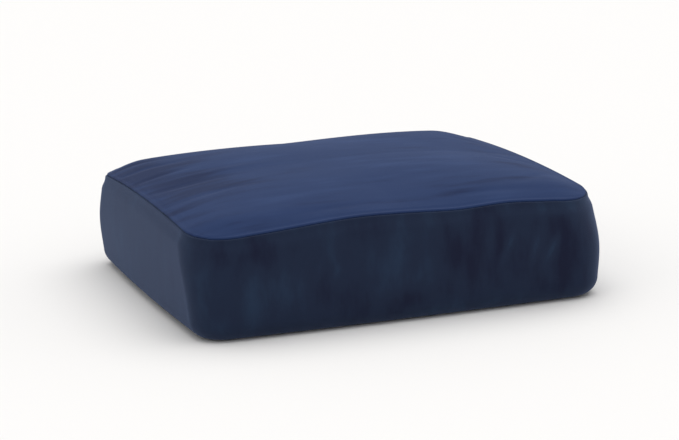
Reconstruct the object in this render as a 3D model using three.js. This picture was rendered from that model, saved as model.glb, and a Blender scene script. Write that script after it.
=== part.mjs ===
// A fitted seat cushion cover of stretch velvet, in the full form it takes in use: a crowned top panel sewn
// to one long band, which runs round the sides, turns under and ends in an elastic hem.
// The cover is hollow and open underneath. Millimetres, +Z up, front towards -Y.
// The origin is on the underside of the top panel, in the middle, where the cover is held up.

import * as THREE from 'three';

// Driving dimensions
const WIDTH = 610; // side to side, over the fullest line of the band
const DEPTH = 590; // front to back, over the fullest line of the band
const HEIGHT = 181; // underside of the hem to the top of the crown
const SEAM_HEIGHT = 149; // underside of the hem to the seam, in the middle of a side
const CORNER_RADIUS = 52; // plan radius of the upright corners, on the fullest line
const CLOTH = 2; // stretch velvet with its pile
const SEWN_GAP = 0.35; // between the two cloths along the seam

// Seam: both cloths roll over and run inwards side by side
const SEAM_INSET = 13; // of the seam from the fullest line
const SEAM_CORNER = 84; // plan radius of the seam's corners, rounder than the band's, before the inset
const SEAM_ROLL = 3.2; // outer radius of each rolled edge
const ALLOWANCE = 8; // cloth left inside the seam
const ALLOWANCE_DIP = THREE.MathUtils.degToRad(40); // slope of that cloth, below level

// Band, foot and hem: the band swells between its edges, turns under and is gathered on elastic
const BAND_SWELL = 6; // of the fullest line from the band's edges
const FOOT_RADIUS = 26; // where the band turns under
const LIP_REACH = 76; // from the fullest line to where the hem starts
const HEM_WIDTH = 14; // casing of the elastic
const HEM_THICK = 5;
const HEM_CORNER = 118; // plan radius of the mouth's corners, drawn round by the elastic

// Unevenness of the sewn and filled form
const SEAM_ARCH = 6; // the seam sinks this far from a side's middle to its ends
const CORNER_DIP = 4; // and this much more on the corner itself
const SIDE_BOW = 4; // the fullest line stands out in the middle of a side
const CROWN_POWER = 2.4; // 2 is a round crown, more is a flatter one
const CORNER_FULLNESS = 29; // the top stands about a third of this higher, just inside a corner of the seam
const SHOULDER_SHARE = 0.5; // of the way in from the seam, over which that fullness rounds over

// Facets
const CORNER_STEPS = 5; // in half a corner
const STRAIGHT_STEPS = 12;
const ROLL_STEPS = 5;
const FOOT_STEPS = 5;
const WALL_ROWS = [0.84, 0.66, 0.46, 0.28]; // shares of the seam's height
const STRAIGHT_CROWDING = 0.2; // closer steps towards the corners
const SIDE_STEPS = 2 * CORNER_STEPS + STRAIGHT_STEPS;

const VELVET = { color: 0x2a3856, roughness: 0.92, metalness: 0 };

// Soft hollows left by use, each a smooth trough, `long` by `wide` from its middle, turned by `turn` degrees
// and `deep` in the middle. Its place is x and y on the top panel, and `along` and `up` on the band's front.
const TOP_HOLLOWS = [
  { x: -115, y: -35, long: 150, wide: 85, turn: 12, deep: 3.0 },
  { x: 135, y: 70, long: 120, wide: 70, turn: -28, deep: 2.5 },
  { x: 30, y: -170, long: 110, wide: 38, turn: 8, deep: 1.6 },
  { x: -190, y: 150, long: 90, wide: 45, turn: 40, deep: 1.8 },
];
const FRONT_HOLLOWS = [
  { along: -95, up: 84, long: 85, wide: 36, turn: 0, deep: 3.0 },
  { along: 118, up: 76, long: 50, wide: 30, turn: 72, deep: 2.4 },
  { along: 205, up: 64, long: 46, wide: 30, turn: 78, deep: 1.8 },
];

// Where the front seam runs high or low of its even arch, by `rise` at `along` and fading over `reach`
const FRONT_SEAM_WAVES = [
  { along: -215, rise: -1.5, reach: 60 },
  { along: -70, rise: 2.5, reach: 60 },
  { along: 75, rise: -2.5, reach: 50 },
  { along: 155, rise: 2.0, reach: 45 },
];

// Plan of the cover: four sides, anticlockwise from the front, each with the way along and the way out
const SIDES = [
  { name: 'front', along: [1, 0], outwards: [0, -1], length: WIDTH, across: DEPTH },
  { name: 'right', along: [0, 1], outwards: [1, 0], length: DEPTH, across: WIDTH },
  { name: 'back', along: [-1, 0], outwards: [0, 1], length: WIDTH, across: DEPTH },
  { name: 'left', along: [0, -1], outwards: [-1, 0], length: DEPTH, across: WIDTH },
];

const count = (n) => Array.from({ length: n }, (_, i) => i);

// One lap round the cover. A stop has its side, `t` from -1 to 1 along the straight, and the angle it has
// turned on a corner.
function lapOf(side) {
  const halfCorner = Math.PI / 4;
  const crowded = (even) => even + STRAIGHT_CROWDING * (even - even ** 3);
  return [
    ...count(CORNER_STEPS).map((i) => ({ side, t: -1, turn: (i / CORNER_STEPS - 1) * halfCorner })),
    ...count(STRAIGHT_STEPS).map((i) => ({ side, t: crowded((2 * i) / STRAIGHT_STEPS - 1), turn: 0 })),
    ...count(CORNER_STEPS).map((i) => ({ side, t: 1, turn: (i / CORNER_STEPS) * halfCorner })),
  ];
}
const LAP = SIDES.flatMap(lapOf);

// Depth of a table's hollows at a point (a, b) of their own plane
function hollowAt(hollows, a, b) {
  return hollows.reduce((sum, { x, along, y, up, long, wide, turn, deep }) => {
    const angle = THREE.MathUtils.degToRad(turn);
    const da = a - (x ?? along);
    const db = b - (y ?? up);
    const lengthways = (da * Math.cos(angle) + db * Math.sin(angle)) / long;
    const crossways = (db * Math.cos(angle) - da * Math.sin(angle)) / wide;
    return sum + deep * Math.exp(-lengthways * lengthways - crossways * crossways);
  }, 0);
}

// Rise or fall of the front seam
function waveAt(along) {
  return FRONT_SEAM_WAVES.reduce((sum, wave) => {
    const far = (along - wave.along) / wave.reach;
    return sum + wave.rise * Math.exp(-far * far);
  }, 0);
}

// A section's point carried to a stop of the lap. `out` and `up` hold in the middle of a side. `pull`, from 0
// to 1, is how much the point follows the seam as it arches and dips.
function place({ out, up, radius, pull }, { side, t, turn }) {
  const toEnds = t * t;
  const onCorner = Math.sin(2 * Math.abs(turn));
  const inset = out - radius - SIDE_BOW * (1 - pull) * toEnds;
  const along = t * (side.length / 2 + inset) + radius * Math.sin(turn);
  const wave = side.name === 'front' ? waveAt(along) : 0;
  const height = up + pull * (wave - SEAM_ARCH * toEnds - CORNER_DIP * onCorner);
  const hollow = side.name === 'front' ? hollowAt(FRONT_HOLLOWS, along, height) : 0;
  const away = side.across / 2 + inset + radius * Math.cos(turn) - hollow;
  return [
    along * side.along[0] + away * side.outwards[0],
    along * side.along[1] + away * side.outwards[1],
    height,
  ];
}

// Points of an arc in a section, from one angle to another
function arc([centreOut, centreUp], radius, from, to, steps) {
  return count(steps + 1).map((i) => {
    const angle = from + ((to - from) * i) / steps;
    return [centreOut + radius * Math.cos(angle), centreUp + radius * Math.sin(angle)];
  });
}

// The inner face of a cloth: each point of its outer face moved in by the thickness there, square to the
// line. The outer face lies on the left of the line as it runs.
function innerFace(line, thick) {
  return line.map(([out, up], i) => {
    const [fromOut, fromUp] = line[Math.max(i - 1, 0)];
    const [toOut, toUp] = line[Math.min(i + 1, line.length - 1)];
    const run = Math.hypot(toOut - fromOut, toUp - fromUp);
    return [out + (thick[i] * (toUp - fromUp)) / run, up - (thick[i] * (toOut - fromOut)) / run];
  });
}

// The seam in section: its point, the way inwards along the allowance, and the way across it to the top panel
const SEAM = [-SEAM_INSET, SEAM_HEIGHT];
const INWARDS = [-Math.cos(ALLOWANCE_DIP), -Math.sin(ALLOWANCE_DIP)];
const ACROSS = [-Math.sin(ALLOWANCE_DIP), Math.cos(ALLOWANCE_DIP)];
const ACROSS_ANGLE = Math.PI / 2 + ALLOWANCE_DIP;
const fromSeam = (across, inwards) => SEAM.map((s, k) => s + ACROSS[k] * across + INWARDS[k] * inwards);

// Outer face of the top panel's edge, from where the crown starts, over the roll and along the allowance
function topEdgeLine() {
  const crownSlope = (CROWN_POWER * (HEIGHT - SEAM_HEIGHT)) / (WIDTH / 2);
  const crownAngle = Math.PI / 2 - Math.atan(crownSlope);
  const centre = fromSeam(SEWN_GAP / 2 + SEAM_ROLL, 0);
  const roll = arc(centre, SEAM_ROLL, crownAngle, ACROSS_ANGLE - Math.PI, ROLL_STEPS);
  return [...roll, fromSeam(SEWN_GAP / 2, ALLOWANCE)];
}

// Outer face of the band, from the allowance, over the roll, down the wall, under the foot and along the lip
function bandLine() {
  const centre = fromSeam(-SEWN_GAP / 2 - SEAM_ROLL, 0);
  const roll = arc(centre, SEAM_ROLL, ACROSS_ANGLE, 0, ROLL_STEPS);
  const swell = (up) => -BAND_SWELL * ((2 * up) / SEAM_HEIGHT - 1) ** 2;
  const wall = WALL_ROWS.map((share) => [swell(share * SEAM_HEIGHT), share * SEAM_HEIGHT]);
  const footCentre = [swell(FOOT_RADIUS) - FOOT_RADIUS, FOOT_RADIUS];
  const foot = arc(footCentre, FOOT_RADIUS, 0, -Math.PI / 2, FOOT_STEPS);
  const lip = [-(FOOT_RADIUS + LIP_REACH) / 2, -LIP_REACH].map((out) => [out, 0]);
  return [fromSeam(-SEWN_GAP / 2, ALLOWANCE), ...roll, ...wall, ...foot, ...lip];
}

// The hem is a flat tube on the end of the lip
function hemLine() {
  const start = -LIP_REACH - CLOTH;
  const end = -LIP_REACH - HEM_WIDTH;
  return {
    line: [[start, 0], [(start + end) / 2, 0], [end, 0], [end - 1.6, HEM_THICK / 4]],
    thick: [HEM_THICK, HEM_THICK + 0.4, HEM_THICK, HEM_THICK / 2],
  };
}

// Section points with the plan radius and the pull of the seam that each of them gets
function sectionRow([out, up]) {
  const onLip = THREE.MathUtils.clamp((-FOOT_RADIUS - out) / (LIP_REACH + HEM_WIDTH - FOOT_RADIUS), 0, 1);
  const underFoot = up < SEAM_HEIGHT / 2 ? onLip : 0;
  const pull = THREE.MathUtils.smoothstep(up, FOOT_RADIUS, SEAM_HEIGHT - ALLOWANCE - SEAM_ROLL);
  const corner = THREE.MathUtils.lerp(CORNER_RADIUS, SEAM_CORNER, pull * pull);
  const radius = THREE.MathUtils.lerp(corner + Math.max(out, -FOOT_RADIUS), HEM_CORNER, underFoot);
  return { out, up, radius, pull };
}

// A closed sheet of cloth under construction: numbered points, and triangles that face outwards
class ClothMesh {
  points = [];
  triangles = [];

  add(points) {
    const first = this.points.length;
    this.points.push(...points);
    return points.map((_, i) => first + i);
  }

  // Faces between two laps, the second further along the section
  join(lap, next) {
    lap.forEach((a, k) => {
      const b = lap[(k + 1) % lap.length];
      const c = next[(k + 1) % lap.length];
      const d = next[k];
      this.triangles.push(a, d, c, a, c, b);
    });
  }

  // Faces over a square grid of point numbers, facing up or down
  cover(grid, up) {
    for (let i = 0; i < SIDE_STEPS; i += 1) {
      for (let j = 0; j < SIDE_STEPS; j += 1) {
        const [a, b, c, d] = [grid[i][j], grid[i + 1][j], grid[i + 1][j + 1], grid[i][j + 1]];
        if (up) this.triangles.push(a, b, c, a, c, d);
        else this.triangles.push(a, c, b, a, d, c);
      }
    }
  }

  geometry() {
    const made = new THREE.BufferGeometry();
    made.setAttribute('position', new THREE.Float32BufferAttribute(this.points.flat(), 3));
    made.setIndex(this.triangles);
    made.computeVertexNormals();
    return made;
  }
}

// The crowned field inside a lap, as a grid of points. Plan places blend from the four sides, and heights
// sink from the crown to what the lap has at the nearest edge.
function crownField(lap, crownHeight) {
  const last = SIDE_STEPS;
  const edge = {
    front: (i) => lap[i],
    right: (j) => lap[last + j],
    back: (i) => lap[3 * last - i],
    left: (j) => lap[(4 * last - j) % (4 * last)],
  };
  const corners = [edge.front(0), edge.front(last), edge.back(0), edge.back(last)];
  const halfWidth = (edge.right(last / 2)[0] - edge.left(last / 2)[0]) / 2;
  const halfDepth = (edge.back(last / 2)[1] - edge.front(last / 2)[1]) / 2;
  return (i, j) => {
    const [u, v] = [i / last, j / last];
    const [fromMiddleX, fromMiddleY] = [Math.abs(2 * u - 1), Math.abs(2 * v - 1)];
    const [front, right, back, left] = [edge.front(i), edge.right(j), edge.back(i), edge.left(j)];
    const plan = (k) =>
      (1 - v) * front[k] + v * back[k] + (1 - u) * left[k] + u * right[k] -
      ((1 - u) * (1 - v) * corners[0][k] + u * (1 - v) * corners[1][k] +
        (1 - u) * v * corners[2][k] + u * v * corners[3][k]);
    const [x, y] = [plan(0), plan(1)];
    const weights = [v, 1 - u, 1 - v, u].map((far) => 1 / (far * far));
    const edgeHeight =
      [front, right, back, left].reduce((sum, point, k) => sum + point[2] * weights[k], 0) /
      weights.reduce((sum, weight) => sum + weight, 0);
    const crownShare =
      (1 - Math.abs(x / halfWidth) ** CROWN_POWER) * (1 - Math.abs(y / halfDepth) ** CROWN_POWER);
    const rounded = (share) => share * THREE.MathUtils.smoothstep(1 - share, 0, SHOULDER_SHARE);
    const fullness = CORNER_FULLNESS * rounded(fromMiddleX) * rounded(fromMiddleY);
    const height = edgeHeight + (crownHeight - edgeHeight) * crownShare + fullness;
    return [x, y, height - crownShare * hollowAt(TOP_HOLLOWS, x, y)];
  };
}

// Point numbers of a grid whose rim is an existing lap
function gridInside(mesh, lapNumbers, field) {
  const last = SIDE_STEPS;
  return count(last + 1).map((i) =>
    count(last + 1).map((j) => {
      if (j === 0) return lapNumbers[i];
      if (i === last) return lapNumbers[last + j];
      if (j === last) return lapNumbers[3 * last - i];
      if (i === 0) return lapNumbers[4 * last - j];
      return mesh.add([field(i, j)])[0];
    }),
  );
}

const lapPoints = (row) => LAP.map((stop) => place(row, stop));

// Top panel: one crowned piece with its edge rolled over into the seam
function topPanel() {
  const outer = topEdgeLine();
  const thick = outer.map(() => CLOTH);
  const pulled = ([out, up]) => ({ out, up, radius: SEAM_CORNER + out, pull: 1 });
  const section = [...outer, ...innerFace(outer, thick).reverse()].map(pulled);
  const laps = section.map(lapPoints);
  const mesh = new ClothMesh();
  const numbers = laps.map((lap) => mesh.add(lap));
  numbers.slice(1).forEach((next, i) => mesh.join(numbers[i], next));
  mesh.cover(gridInside(mesh, numbers[0], crownField(laps[0], HEIGHT)), true);
  mesh.cover(gridInside(mesh, numbers.at(-1), crownField(laps.at(-1), HEIGHT - CLOTH)), false);
  return mesh.geometry();
}

// Side band: one strip round the cover, from the seam to the elastic hem under the cushion
function sideBand() {
  const wall = bandLine();
  const hem = hemLine();
  const outer = [...wall, ...hem.line];
  const thick = [...wall.map(() => CLOTH), ...hem.thick];
  const section = [...outer, ...innerFace(outer, thick).reverse()].map(sectionRow);
  const mesh = new ClothMesh();
  const numbers = section.map((row) => mesh.add(lapPoints(row)));
  numbers.forEach((lap, i) => mesh.join(lap, numbers[(i + 1) % numbers.length]));
  return mesh.geometry();
}

function piece(name, geometry) {
  const mesh = new THREE.Mesh(geometry, new THREE.MeshStandardMaterial(VELVET));
  mesh.name = name;
  return mesh;
}

const cover = new THREE.Group();
const standing = new THREE.Group();
standing.position.z = CLOTH + hollowAt(TOP_HOLLOWS, 0, 0) - HEIGHT;
standing.add(piece('top_panel', topPanel()), piece('side_band', sideBand()));
cover.add(standing);

export default cover;
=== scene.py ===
import math

import bpy
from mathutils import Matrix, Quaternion, Vector


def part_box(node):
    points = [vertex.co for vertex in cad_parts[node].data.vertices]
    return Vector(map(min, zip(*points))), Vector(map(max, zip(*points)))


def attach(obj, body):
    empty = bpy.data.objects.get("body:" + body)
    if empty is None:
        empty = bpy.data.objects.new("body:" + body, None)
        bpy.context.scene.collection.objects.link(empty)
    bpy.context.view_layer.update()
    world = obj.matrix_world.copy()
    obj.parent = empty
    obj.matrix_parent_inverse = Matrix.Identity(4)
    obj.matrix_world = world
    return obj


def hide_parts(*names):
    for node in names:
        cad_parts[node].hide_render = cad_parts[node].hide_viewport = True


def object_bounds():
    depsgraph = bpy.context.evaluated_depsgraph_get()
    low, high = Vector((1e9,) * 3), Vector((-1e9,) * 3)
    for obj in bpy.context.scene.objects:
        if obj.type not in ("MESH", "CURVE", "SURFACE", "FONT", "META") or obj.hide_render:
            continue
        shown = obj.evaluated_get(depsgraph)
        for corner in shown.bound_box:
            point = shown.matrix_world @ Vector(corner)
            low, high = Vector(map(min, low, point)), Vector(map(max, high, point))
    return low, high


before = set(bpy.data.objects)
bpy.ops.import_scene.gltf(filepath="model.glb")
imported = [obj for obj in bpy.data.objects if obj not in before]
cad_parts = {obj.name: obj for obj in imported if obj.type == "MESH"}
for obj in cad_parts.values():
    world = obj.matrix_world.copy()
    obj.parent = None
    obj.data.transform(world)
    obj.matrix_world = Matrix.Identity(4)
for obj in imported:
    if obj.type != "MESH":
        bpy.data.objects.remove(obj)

cad_low, cad_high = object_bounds()


# Studio: a pale floor under the cover, one broad soft light overhead and a bright white surround.
# The camera stands a little to the left and above, at the photograph's angle to the cover's faces.
floor_level = cad_low.z
middle = (cad_low + cad_high) / 2

VIEW_AZIMUTH = math.radians(-18.3)
VIEW_ELEVATION = math.radians(12.3)
VIEW_ROLL = math.radians(-2.3)
VIEW_DISTANCE = 3.7
VIEW_LENS = 134
AIM_DROP = 0.004

away = Vector((
    math.sin(VIEW_AZIMUTH) * math.cos(VIEW_ELEVATION),
    -math.cos(VIEW_AZIMUTH) * math.cos(VIEW_ELEVATION),
    math.sin(VIEW_ELEVATION),
))
bpy.ops.object.select_all(action="DESELECT")
bpy.ops.object.camera_add(location=middle - Vector((0, 0, AIM_DROP)) + away * VIEW_DISTANCE)
camera = bpy.context.object
level_view = away.to_track_quat("Z", "Y")
camera.rotation_euler = (level_view @ Quaternion((0, 0, 1), VIEW_ROLL)).to_euler()
camera.data.lens = VIEW_LENS
bpy.context.scene.camera = camera

OVERHEAD_TILT = math.radians(-8)
OVERHEAD_LEAN = math.radians(10)
OVERHEAD_SPREAD = math.radians(75)
bpy.ops.object.light_add(type="SUN", rotation=(OVERHEAD_TILT, OVERHEAD_LEAN, 0))
overhead = bpy.context.object
overhead.name = "broad_overhead_light"
overhead.data.energy = 1.5
overhead.data.angle = OVERHEAD_SPREAD

surround = bpy.data.worlds.new("white_surround")
surround.use_nodes = True
surround.node_tree.nodes["Background"].inputs["Color"].default_value = (1, 1, 1, 1)
surround.node_tree.nodes["Background"].inputs["Strength"].default_value = 0.7
bpy.context.scene.world = surround
bpy.context.scene.view_settings.view_transform = "Standard"

FLOOR_SIDE = 30
FLOOR_GAP = 0.0004
bpy.ops.mesh.primitive_plane_add(size=FLOOR_SIDE, location=(0, 0, floor_level - FLOOR_GAP))
floor = bpy.context.object
floor.name = "studio_floor"
bpy.ops.object.transform_apply(location=True, rotation=False, scale=False)
paper = bpy.data.materials.new("pale_paper")
paper.use_nodes = True
paper_shader = paper.node_tree.nodes["Principled BSDF"]
paper_shader.inputs["Base Color"].default_value = (0.86, 0.85, 0.84, 1)
paper_shader.inputs["Roughness"].default_value = 0.9
paper_shader.inputs["Specular IOR Level"].default_value = 0.1
floor.data.materials.append(paper)


# Top panel: one square of stretch velvet, held up in a crown, its edge rolled down into the seam.
# The nap is brushed towards the back, with marks where it was stroked; the top's paleness is painted light,
# its base colours a lighter copy of the band's velvet.
band_low, band_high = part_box("side_band")
WIDTH = band_high.x - band_low.x
DEPTH = band_high.y - band_low.y
CROWN = 0.181
SEAM_UP = 0.149
SEAM_INSET = 0.013
BAND_CORNER = 0.052
SEAM_CORNER = 0.084
CLOTH = 0.0016
SEAM_ROLL = 0.0022
SEAM_HALF_GAP = 0.00004
ALLOWANCE = 0.007
ALLOWANCE_DIP = math.radians(40)
SEAM_ARCH = 0.006
CORNER_DIP = 0.004
SIDE_BOW = 0.004
CROWN_POWER = 2.4
CORNER_FULLNESS = 0.029
SHOULDER_SHARE = 0.50
RIM_EASE = 0.1
CORNER_SHARE = 5 / 11

# Each side's way along, its way outwards, its length, and the cover's size across it
SIDES = {
    "front": ((1, 0), (0, -1), WIDTH, DEPTH),
    "right": ((0, 1), (1, 0), DEPTH, WIDTH),
    "back": ((-1, 0), (0, 1), WIDTH, DEPTH),
    "left": ((0, -1), (-1, 0), DEPTH, WIDTH),
}
SIDE_NAMES = list(SIDES)

# Where the front seam runs high or low of its even arch
FRONT_SEAM_WAVES = [
    {"along": -0.215, "rise": -0.0015, "reach": 0.060},
    {"along": -0.070, "rise": 0.0025, "reach": 0.060},
    {"along": 0.075, "rise": -0.0025, "reach": 0.050},
    {"along": 0.155, "rise": 0.0020, "reach": 0.045},
]

# Hollows of the front, left by use. In each table of soft spots, `at` is the middle, `long` and `wide` reach
# from it, and `turn` is in degrees.
FRONT_HOLLOWS = [
    {"at": (-0.095, 0.084), "long": 0.085, "wide": 0.036, "turn": 0, "deep": 0.0030},
    {"at": (0.118, 0.076), "long": 0.050, "wide": 0.030, "turn": 72, "deep": 0.0024},
    {"at": (0.205, 0.064), "long": 0.046, "wide": 0.030, "turn": 78, "deep": 0.0018},
]


def smoothstep(x, low, high):
    share = min(max((x - low) / (high - low), 0), 1)
    return share * share * (3 - 2 * share)


def mix(a, b, share):
    return a + (b - a) * share


def spots(table, amount, a, b):
    """Sum at (a, b) of the soft spots in a table, by the column that holds their amounts."""
    total = 0
    for row in table:
        angle = math.radians(row["turn"])
        da, db = a - row["at"][0], b - row["at"][1]
        lengthways = (da * math.cos(angle) + db * math.sin(angle)) / row["long"]
        crossways = (db * math.cos(angle) - da * math.sin(angle)) / row["wide"]
        total += row[amount] * math.exp(-lengthways ** 2 - crossways ** 2)
    return total


def lap_point(row, side, share):
    """A section's point (out, up, radius, pull) carried along a side; share runs from -1 to 1."""
    out, up, radius, pull = row
    along_way, out_way, length, across = SIDES[side]
    straight = 1 - CORNER_SHARE
    t = min(max(share / straight, -1), 1)
    turn = (abs(share) - straight) / CORNER_SHARE * math.pi / 4 if abs(share) > straight else 0
    turn = math.copysign(turn, share)
    inset = out - radius - SIDE_BOW * (1 - pull) * t * t
    along = t * (length / 2 + inset) + radius * math.sin(turn)
    sink = SEAM_ARCH * t * t + CORNER_DIP * math.sin(2 * abs(turn))
    wave, hollow = 0, 0
    if side == "front":
        wave = sum(
            bump["rise"] * math.exp(-(((along - bump["along"]) / bump["reach"]) ** 2))
            for bump in FRONT_SEAM_WAVES
        )
        hollow = spots(FRONT_HOLLOWS, "deep", along, up - pull * sink)
    height = up + pull * (wave - sink)
    reach = across / 2 + inset + radius * math.cos(turn) - hollow
    return Vector((
        along * along_way[0] + reach * out_way[0],
        along * along_way[1] + reach * out_way[1],
        floor_level + height,
    ))


def from_seam(across, inwards):
    """A point of the seam's section, across the two cloths and inwards along their allowances."""
    return (
        -SEAM_INSET - math.sin(ALLOWANCE_DIP) * across - math.cos(ALLOWANCE_DIP) * inwards,
        SEAM_UP + math.cos(ALLOWANCE_DIP) * across - math.sin(ALLOWANCE_DIP) * inwards,
    )


def arc(centre, radius, start, end, steps):
    angles = [mix(start, end, i / steps) for i in range(steps + 1)]
    return [(centre[0] + radius * math.cos(a), centre[1] + radius * math.sin(a)) for a in angles]


ACROSS_ANGLE = math.pi / 2 + ALLOWANCE_DIP
ROLL_STEPS = 8
ALLOWANCE_STEPS = 2


def allowance(side_of_seam):
    return [from_seam(side_of_seam * SEAM_HALF_GAP, ALLOWANCE * (i + 1) / ALLOWANCE_STEPS)
            for i in range(ALLOWANCE_STEPS)]


crown_angle = math.pi / 2 - math.atan(CROWN_POWER * (CROWN - SEAM_UP) / (WIDTH / 2))
roll_middle = from_seam(SEAM_HALF_GAP + SEAM_ROLL, 0)
top_roll = arc(roll_middle, SEAM_ROLL, crown_angle, ACROSS_ANGLE - math.pi, ROLL_STEPS)
top_edge = [(out, up, SEAM_CORNER + out, 1) for out, up in top_roll + allowance(1)]

# Hollows of the top, its creases, some of them ridges, and where its nap was stroked pale or dark, with a
# painted shadow along its left edge
TOP_HOLLOWS = [
    {"at": (-0.115, -0.035), "long": 0.150, "wide": 0.085, "turn": 12, "deep": 0.0030},
    {"at": (0.135, 0.070), "long": 0.120, "wide": 0.070, "turn": -28, "deep": 0.0025},
    {"at": (0.030, -0.170), "long": 0.110, "wide": 0.038, "turn": 8, "deep": 0.0016},
    {"at": (-0.190, 0.150), "long": 0.090, "wide": 0.045, "turn": 40, "deep": 0.0018},
]
TOP_CREASES = [
    {"at": (-0.255, 0.205), "long": 0.040, "wide": 0.008, "turn": -14, "deep": 0.0014},
    {"at": (-0.245, 0.150), "long": 0.048, "wide": 0.009, "turn": -6, "deep": 0.0015},
    {"at": (-0.250, 0.080), "long": 0.045, "wide": 0.008, "turn": 4, "deep": 0.0012},
    {"at": (-0.235, -0.010), "long": 0.060, "wide": 0.010, "turn": -3, "deep": 0.0013},
    {"at": (-0.215, -0.095), "long": 0.060, "wide": 0.009, "turn": 7, "deep": 0.0010},
    {"at": (-0.170, 0.030), "long": 0.075, "wide": 0.010, "turn": -2, "deep": -0.0008},
    {"at": (0.235, -0.190), "long": 0.040, "wide": 0.009, "turn": 38, "deep": 0.0012},
    {"at": (0.250, -0.060), "long": 0.035, "wide": 0.008, "turn": -52, "deep": 0.0009},
    {"at": (0.245, 0.110), "long": 0.038, "wide": 0.008, "turn": -60, "deep": 0.0010},
    {"at": (-0.090, -0.250), "long": 0.055, "wide": 0.008, "turn": 3, "deep": 0.0009},
    {"at": (0.150, -0.247), "long": 0.060, "wide": 0.008, "turn": -2, "deep": 0.0009},
]
TOP_NAP_AND_PAINTED_SHADOW = [
    # Painted shadow: this first row darkens the whole left edge, partly dark nap and partly a shadow falling
    # there
    {"at": (-0.260, 0.060), "long": 0.085, "wide": 0.220, "turn": 0, "tone": -0.80},
    {"at": (-0.255, 0.205), "long": 0.050, "wide": 0.010, "turn": -12, "tone": -0.55},
    {"at": (-0.225, 0.120), "long": 0.060, "wide": 0.011, "turn": -5, "tone": -0.45},
    {"at": (-0.220, 0.020), "long": 0.075, "wide": 0.011, "turn": -3, "tone": -0.45},
    {"at": (-0.175, -0.070), "long": 0.085, "wide": 0.012, "turn": 2, "tone": -0.35},
    {"at": (-0.120, 0.065), "long": 0.090, "wide": 0.014, "turn": -2, "tone": 0.35},
    {"at": (-0.060, -0.020), "long": 0.110, "wide": 0.016, "turn": 3, "tone": 0.30},
    {"at": (0.060, 0.130), "long": 0.140, "wide": 0.070, "turn": -6, "tone": 0.45},
    {"at": (0.130, -0.090), "long": 0.120, "wide": 0.055, "turn": 4, "tone": 0.40},
    {"at": (-0.080, -0.170), "long": 0.150, "wide": 0.030, "turn": 2, "tone": 0.25},
    {"at": (0.215, 0.020), "long": 0.040, "wide": 0.012, "turn": -50, "tone": -0.60},
    {"at": (0.235, -0.120), "long": 0.050, "wide": 0.014, "turn": -42, "tone": -0.65},
    {"at": (0.190, -0.205), "long": 0.065, "wide": 0.012, "turn": 10, "tone": -0.55},
    {"at": (0.085, -0.240), "long": 0.070, "wide": 0.010, "turn": 4, "tone": -0.45},
    {"at": (0.255, 0.120), "long": 0.018, "wide": 0.080, "turn": 0, "tone": -0.45},
]

FIELD_CELLS = 180
EDGE_RINGS = len(top_edge) - 1
LEAST_SHARE = 1e-6

rim = top_edge[0]
rim_corners = [lap_point(rim, name, -1) for name in SIDE_NAMES]


def crown_point(u, v):
    """A point of the field inside the rolled edge; u and v run from -1 to 1."""
    front, back = lap_point(rim, "front", u), lap_point(rim, "back", -u)
    right, left = lap_point(rim, "right", v), lap_point(rim, "left", -v)
    p, q = (u + 1) / 2, (v + 1) / 2
    plan = (
        front * (1 - q) + back * q + left * (1 - p) + right * p
        - rim_corners[0] * (1 - p) * (1 - q) - rim_corners[1] * p * (1 - q)
        - rim_corners[3] * (1 - p) * q - rim_corners[2] * p * q
    )
    weights = [1 / max(far, LEAST_SHARE) ** 2 for far in (q, 1 - p, 1 - q, p)]
    heights = [front.z, right.z, back.z, left.z]
    edge_height = sum(h * w for h, w in zip(heights, weights)) / sum(weights)
    off_rim = smoothstep(1 - max(abs(u), abs(v)), 0, RIM_EASE)
    share = max(1 - abs(plan.x / (WIDTH / 2 + rim[0])) ** CROWN_POWER, 0)
    share *= max(1 - abs(plan.y / (DEPTH / 2 + rim[0])) ** CROWN_POWER, 0)
    share *= off_rim
    height = mix(edge_height, floor_level + CROWN, share)
    shoulder = smoothstep(1 - abs(u), 0, SHOULDER_SHARE) * smoothstep(1 - abs(v), 0, SHOULDER_SHARE)
    height += CORNER_FULLNESS * abs(u * v) * shoulder
    height -= share * spots(TOP_HOLLOWS, "deep", plan.x, plan.y)
    height -= off_rim * spots(TOP_CREASES, "deep", plan.x, plan.y)
    return Vector((plan.x, plan.y, height))


cells = FIELD_CELLS + 2 * EDGE_RINGS
bpy.ops.object.select_all(action="DESELECT")
bpy.ops.mesh.primitive_grid_add(x_subdivisions=cells, y_subdivisions=cells, size=2)
top_panel = bpy.context.object
top_panel.name = "velvet_top_panel"
half = cells / 2
for vertex in top_panel.data.vertices:
    a, b = vertex.co.x * half, vertex.co.y * half
    ring = round(half - max(abs(a), abs(b)))
    if ring >= EDGE_RINGS:
        vertex.co = crown_point(a / (half - EDGE_RINGS), b / (half - EDGE_RINGS))
        continue
    row = top_edge[EDGE_RINGS - ring]
    span = half - ring
    if -b >= abs(a):
        vertex.co = lap_point(row, "front", a / span)
    elif a >= abs(b):
        vertex.co = lap_point(row, "right", b / span)
    elif b >= abs(a):
        vertex.co = lap_point(row, "back", -a / span)
    else:
        vertex.co = lap_point(row, "left", -b / span)


def finish_cloth(piece):
    """Gives a sheet its thickness, inwards from the velvet face, and smooth shading."""
    bpy.ops.object.select_all(action="DESELECT")
    piece.select_set(True)
    bpy.context.view_layer.objects.active = piece
    thickness = piece.modifiers.new("cloth", "SOLIDIFY")
    thickness.thickness = CLOTH
    thickness.offset = -1
    bpy.ops.object.modifier_apply(modifier=thickness.name)
    bpy.ops.object.shade_smooth()


finish_cloth(top_panel)


def stroke(piece, nap_at):
    """Keeps on each point how the nap lies there, with a painted shadow on the top panel's left edge: above
    0 stroked pale, below 0 dark.
    """
    nap = piece.data.attributes.new("nap", "FLOAT", "POINT")
    for vertex in piece.data.vertices:
        nap.data[vertex.index].value = nap_at(vertex.co)


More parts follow.
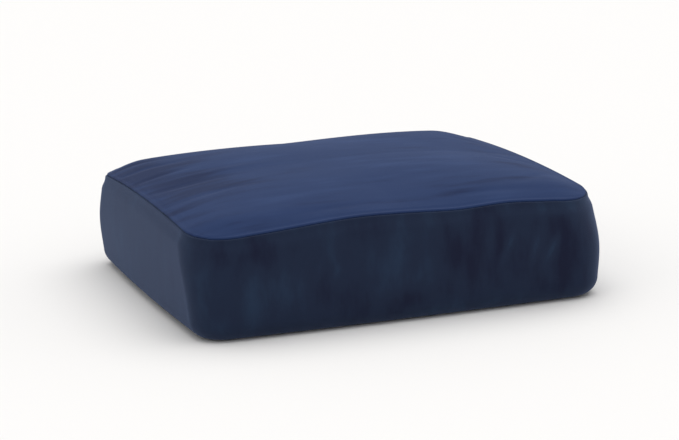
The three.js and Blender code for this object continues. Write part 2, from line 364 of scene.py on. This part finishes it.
# How fine the velvet's patches, streaks and fibres are, and how far the first two swing its tone
PATCH_FINENESS = 8
PATCH_SWING = 0.28
STREAK_FINENESS = 30
STREAK_SWING = 0.46
FIBRE_FINENESS = 900
FIBRE_HEIGHT = 0.0006
NOISE_SPAN = (0.3, 0.7)


def velvet(name, dark, pile, pale, streaks, sheen):
    """Navy velvet: a pile whose tone follows the nap and any painted shadow kept with it, unevenly, with a
    pale sheen at a glancing view.
    """
    material = bpy.data.materials.new(name)
    material.use_nodes = True
    nodes, links = material.node_tree.nodes, material.node_tree.links
    shader = nodes["Principled BSDF"]
    place = nodes.new("ShaderNodeTexCoord")

    def noise(scale, detail, stretch=(1, 1, 1)):
        mapping = nodes.new("ShaderNodeMapping")
        mapping.inputs["Scale"].default_value = stretch
        texture = nodes.new("ShaderNodeTexNoise")
        texture.inputs["Scale"].default_value = scale
        texture.inputs["Detail"].default_value = detail
        links.new(place.outputs["Object"], mapping.inputs["Vector"])
        links.new(mapping.outputs["Vector"], texture.inputs["Vector"])
        return texture.outputs["Fac"]

    def ramp(value, low, high, to_low=0, to_high=1):
        node = nodes.new("ShaderNodeMapRange")
        node.inputs["From Min"].default_value = low
        node.inputs["From Max"].default_value = high
        node.inputs["To Min"].default_value = to_low
        node.inputs["To Max"].default_value = to_high
        links.new(value, node.inputs["Value"])
        return node.outputs["Result"]

    def add(first, second):
        node = nodes.new("ShaderNodeMath")
        links.new(first, node.inputs[0])
        links.new(second, node.inputs[1])
        return node.outputs["Value"]

    nap = nodes.new("ShaderNodeAttribute")
    nap.attribute_name = "nap"
    patches = ramp(noise(PATCH_FINENESS, 2), *NOISE_SPAN, -PATCH_SWING, PATCH_SWING)
    streaked = ramp(noise(STREAK_FINENESS, 4, streaks), *NOISE_SPAN, -STREAK_SWING, STREAK_SWING)
    lie = ramp(add(nap.outputs["Fac"], add(patches, streaked)), -1, 1)
    tones = nodes.new("ShaderNodeValToRGB")
    tones.color_ramp.interpolation = "EASE"
    tones.color_ramp.elements.new(0.5)
    for element, colour in zip(tones.color_ramp.elements, (dark, pile, pale)):
        element.color = (*colour, 1)
    links.new(lie, tones.inputs["Fac"])
    links.new(tones.outputs["Color"], shader.inputs["Base Color"])
    shader.inputs["Roughness"].default_value = 0.95
    shader.inputs["Specular IOR Level"].default_value = 0.12
    shader.inputs["Sheen Weight"].default_value = sheen
    shader.inputs["Sheen Roughness"].default_value = 0.42
    shader.inputs["Sheen Tint"].default_value = (0.36, 0.47, 0.78, 1)

    fibres = nodes.new("ShaderNodeBump")
    fibres.inputs["Strength"].default_value = 0.35
    fibres.inputs["Distance"].default_value = FIBRE_HEIGHT
    links.new(noise(FIBRE_FINENESS, 2), fibres.inputs["Height"])
    links.new(fibres.outputs["Normal"], shader.inputs["Normal"])
    return material


stroke(top_panel, lambda point: spots(TOP_NAP_AND_PAINTED_SHADOW, "tone", point.x, point.y))
# Painted light: the top's dark, pile and pale colours are a lighter copy of the band's, for the overhead
# light the top catches
top_panel.data.materials.append(velvet(
    "navy_velvet_top_painted_lit",
    dark=(0.010, 0.018, 0.058),
    pile=(0.018, 0.035, 0.100),
    pale=(0.026, 0.048, 0.128),
    streaks=(0.30, 1.5, 1),
    sheen=0.17,
))
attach(top_panel, "root")
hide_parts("top_panel")


# Side band: one strip of the same velvet, its nap brushed down, sewn to the top panel all the way round.
# It swells down the sides, turns under at the foot and is folded over flat elastic, which gathers it.
BAND_SWELL = 0.006
FOOT_RADIUS = 0.026
LIP_REACH = 0.076
HEM_WIDTH = 0.012
HEM_FOLD = 0.0025
HEM_CORNER = 0.118
GATHERS = 62
GATHER_RISE = 0.0030
GATHER_DRIFTS = [{"times": 5, "by": 1.7}, {"times": 13, "by": 1.1}]
WALL_STEPS = 30
WALL_EASE_STEPS = 4
FOOT_STEPS = 10
LIP_STEPS = 10
HEM_STEPS = 6
BAND_COLUMNS = 640
JOIN_WITHIN = 0.00001


def swell(up):
    return -BAND_SWELL * (2 * up / SEAM_UP - 1) ** 2


def band_row(out, up, gather=0):
    """A point of the band's section with its plan radius, its pull by the seam and its gathers."""
    pull = smoothstep(up, FOOT_RADIUS, SEAM_UP - ALLOWANCE - SEAM_ROLL)
    corner = mix(BAND_CORNER, SEAM_CORNER, pull * pull) + max(out, -FOOT_RADIUS)
    on_lip = 0
    if up < SEAM_UP / 2:
        on_lip = min(max((-FOOT_RADIUS - out) / (LIP_REACH + HEM_WIDTH - FOOT_RADIUS), 0), 1)
    return (out, up, mix(corner, HEM_CORNER, on_lip), pull), gather


band_roll = arc(from_seam(-SEAM_HALF_GAP - SEAM_ROLL, 0), SEAM_ROLL, ACROSS_ANGLE, 0, ROLL_STEPS)
band_section = [band_row(out, up) for out, up in allowance(-1)[::-1] + band_roll]
roll_out, roll_up = band_roll[-1]
for i in range(1, WALL_STEPS):
    up = mix(roll_up, FOOT_RADIUS, i / WALL_STEPS)
    band_section.append(band_row(mix(roll_out, swell(up), smoothstep(i, 0, WALL_EASE_STEPS)), up))
foot_out = swell(FOOT_RADIUS) - FOOT_RADIUS
for out, up in arc((foot_out, FOOT_RADIUS), FOOT_RADIUS, 0, -math.pi / 2, FOOT_STEPS):
    band_section.append(band_row(out, up))
for i in range(1, LIP_STEPS + 1):
    share = i / LIP_STEPS
    band_section.append(band_row(mix(foot_out, -LIP_REACH - HEM_WIDTH, share), 0, share * share))
nose_middle = (-LIP_REACH - HEM_WIDTH, HEM_FOLD)
hem_nose = arc(nose_middle, HEM_FOLD, -math.pi / 2, -3 * math.pi / 2, HEM_STEPS)[1:]
hem_back = [(-LIP_REACH - HEM_WIDTH / 2, 2 * HEM_FOLD), (-LIP_REACH, 2 * HEM_FOLD)]
for out, up in hem_nose + hem_back:
    band_section.append(band_row(out, up, 1))

bpy.ops.object.select_all(action="DESELECT")
band_rows = len(band_section) - 1
bpy.ops.mesh.primitive_grid_add(x_subdivisions=BAND_COLUMNS, y_subdivisions=band_rows, size=2)
side_band = bpy.context.object
side_band.name = "velvet_side_band"
for vertex in side_band.data.vertices:
    lap_share = (vertex.co.x + 1) / 2 % 1
    row, gather = band_section[round((1 - vertex.co.y) / 2 * band_rows)]
    side = SIDE_NAMES[int(lap_share * 4)]
    point = lap_point(row, side, lap_share * 4 % 1 * 2 - 1)
    turn = 2 * math.pi * lap_share
    drift = sum(wander["by"] * math.sin(wander["times"] * turn) for wander in GATHER_DRIFTS)
    ruck = (1 - math.cos(GATHERS * turn + drift)) / 2
    point.z += GATHER_RISE * gather * ruck
    vertex.co = point
bpy.ops.object.mode_set(mode="EDIT")
bpy.ops.mesh.select_all(action="SELECT")
bpy.ops.mesh.remove_doubles(threshold=JOIN_WITHIN)
bpy.ops.object.mode_set(mode="OBJECT")
finish_cloth(side_band)

# How the front's nap lies: broad bluish and dusky patches, and short pale strokes towards the right
FRONT_NAP = [
    {"at": (-0.014, 0.088), "long": 0.062, "wide": 0.042, "turn": 0, "tone": 0.60},
    {"at": (0.006, 0.031), "long": 0.040, "wide": 0.019, "turn": 0, "tone": -0.70},
    {"at": (-0.215, 0.055), "long": 0.040, "wide": 0.050, "turn": 0, "tone": 0.50},
    {"at": (-0.215, 0.116), "long": 0.060, "wide": 0.020, "turn": 4, "tone": -0.55},
    {"at": (-0.110, 0.055), "long": 0.050, "wide": 0.033, "turn": 10, "tone": -0.40},
    {"at": (0.140, 0.011), "long": 0.150, "wide": 0.012, "turn": 0, "tone": 0.35},
    {"at": (0.190, 0.073), "long": 0.130, "wide": 0.082, "turn": 0, "tone": -0.40},
    {"at": (0.105, 0.091), "long": 0.045, "wide": 0.046, "turn": 0, "tone": -0.40},
    {"at": (0.225, 0.086), "long": 0.030, "wide": 0.046, "turn": 0, "tone": -0.25},
    {"at": (0.146, 0.089), "long": 0.026, "wide": 0.0050, "turn": 66, "tone": 1.05},
    {"at": (0.186, 0.084), "long": 0.024, "wide": 0.0050, "turn": 74, "tone": 0.90},
    {"at": (0.212, 0.080), "long": 0.020, "wide": 0.0050, "turn": 62, "tone": 1.00},
    {"at": (0.225, 0.137), "long": 0.055, "wide": 0.011, "turn": 0, "tone": 0.85},
    {"at": (-0.128, 0.086), "long": 0.018, "wide": 0.0050, "turn": 70, "tone": 0.55},
    {"at": (-0.104, 0.082), "long": 0.018, "wide": 0.0050, "turn": 64, "tone": 0.50},
]
FRONT_REACH = 0.060


def band_nap(point):
    if point.y >= FRONT_REACH - DEPTH / 2:
        return 0
    return spots(FRONT_NAP, "tone", point.x, point.z - floor_level)


stroke(side_band, band_nap)
# Painted shade: the band's dark, pile and pale colours are a darker copy of the top's, for the lesser light
# its upright sides catch
side_band.data.materials.append(velvet(
    "navy_velvet_band_painted_shade",
    dark=(0.0090, 0.0118, 0.031),
    pile=(0.0135, 0.0215, 0.047),
    pale=(0.0178, 0.0328, 0.067),
    streaks=(1.4, 1.4, 0.5),
    sheen=0.32,
))
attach(side_band, "root")
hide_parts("side_band")
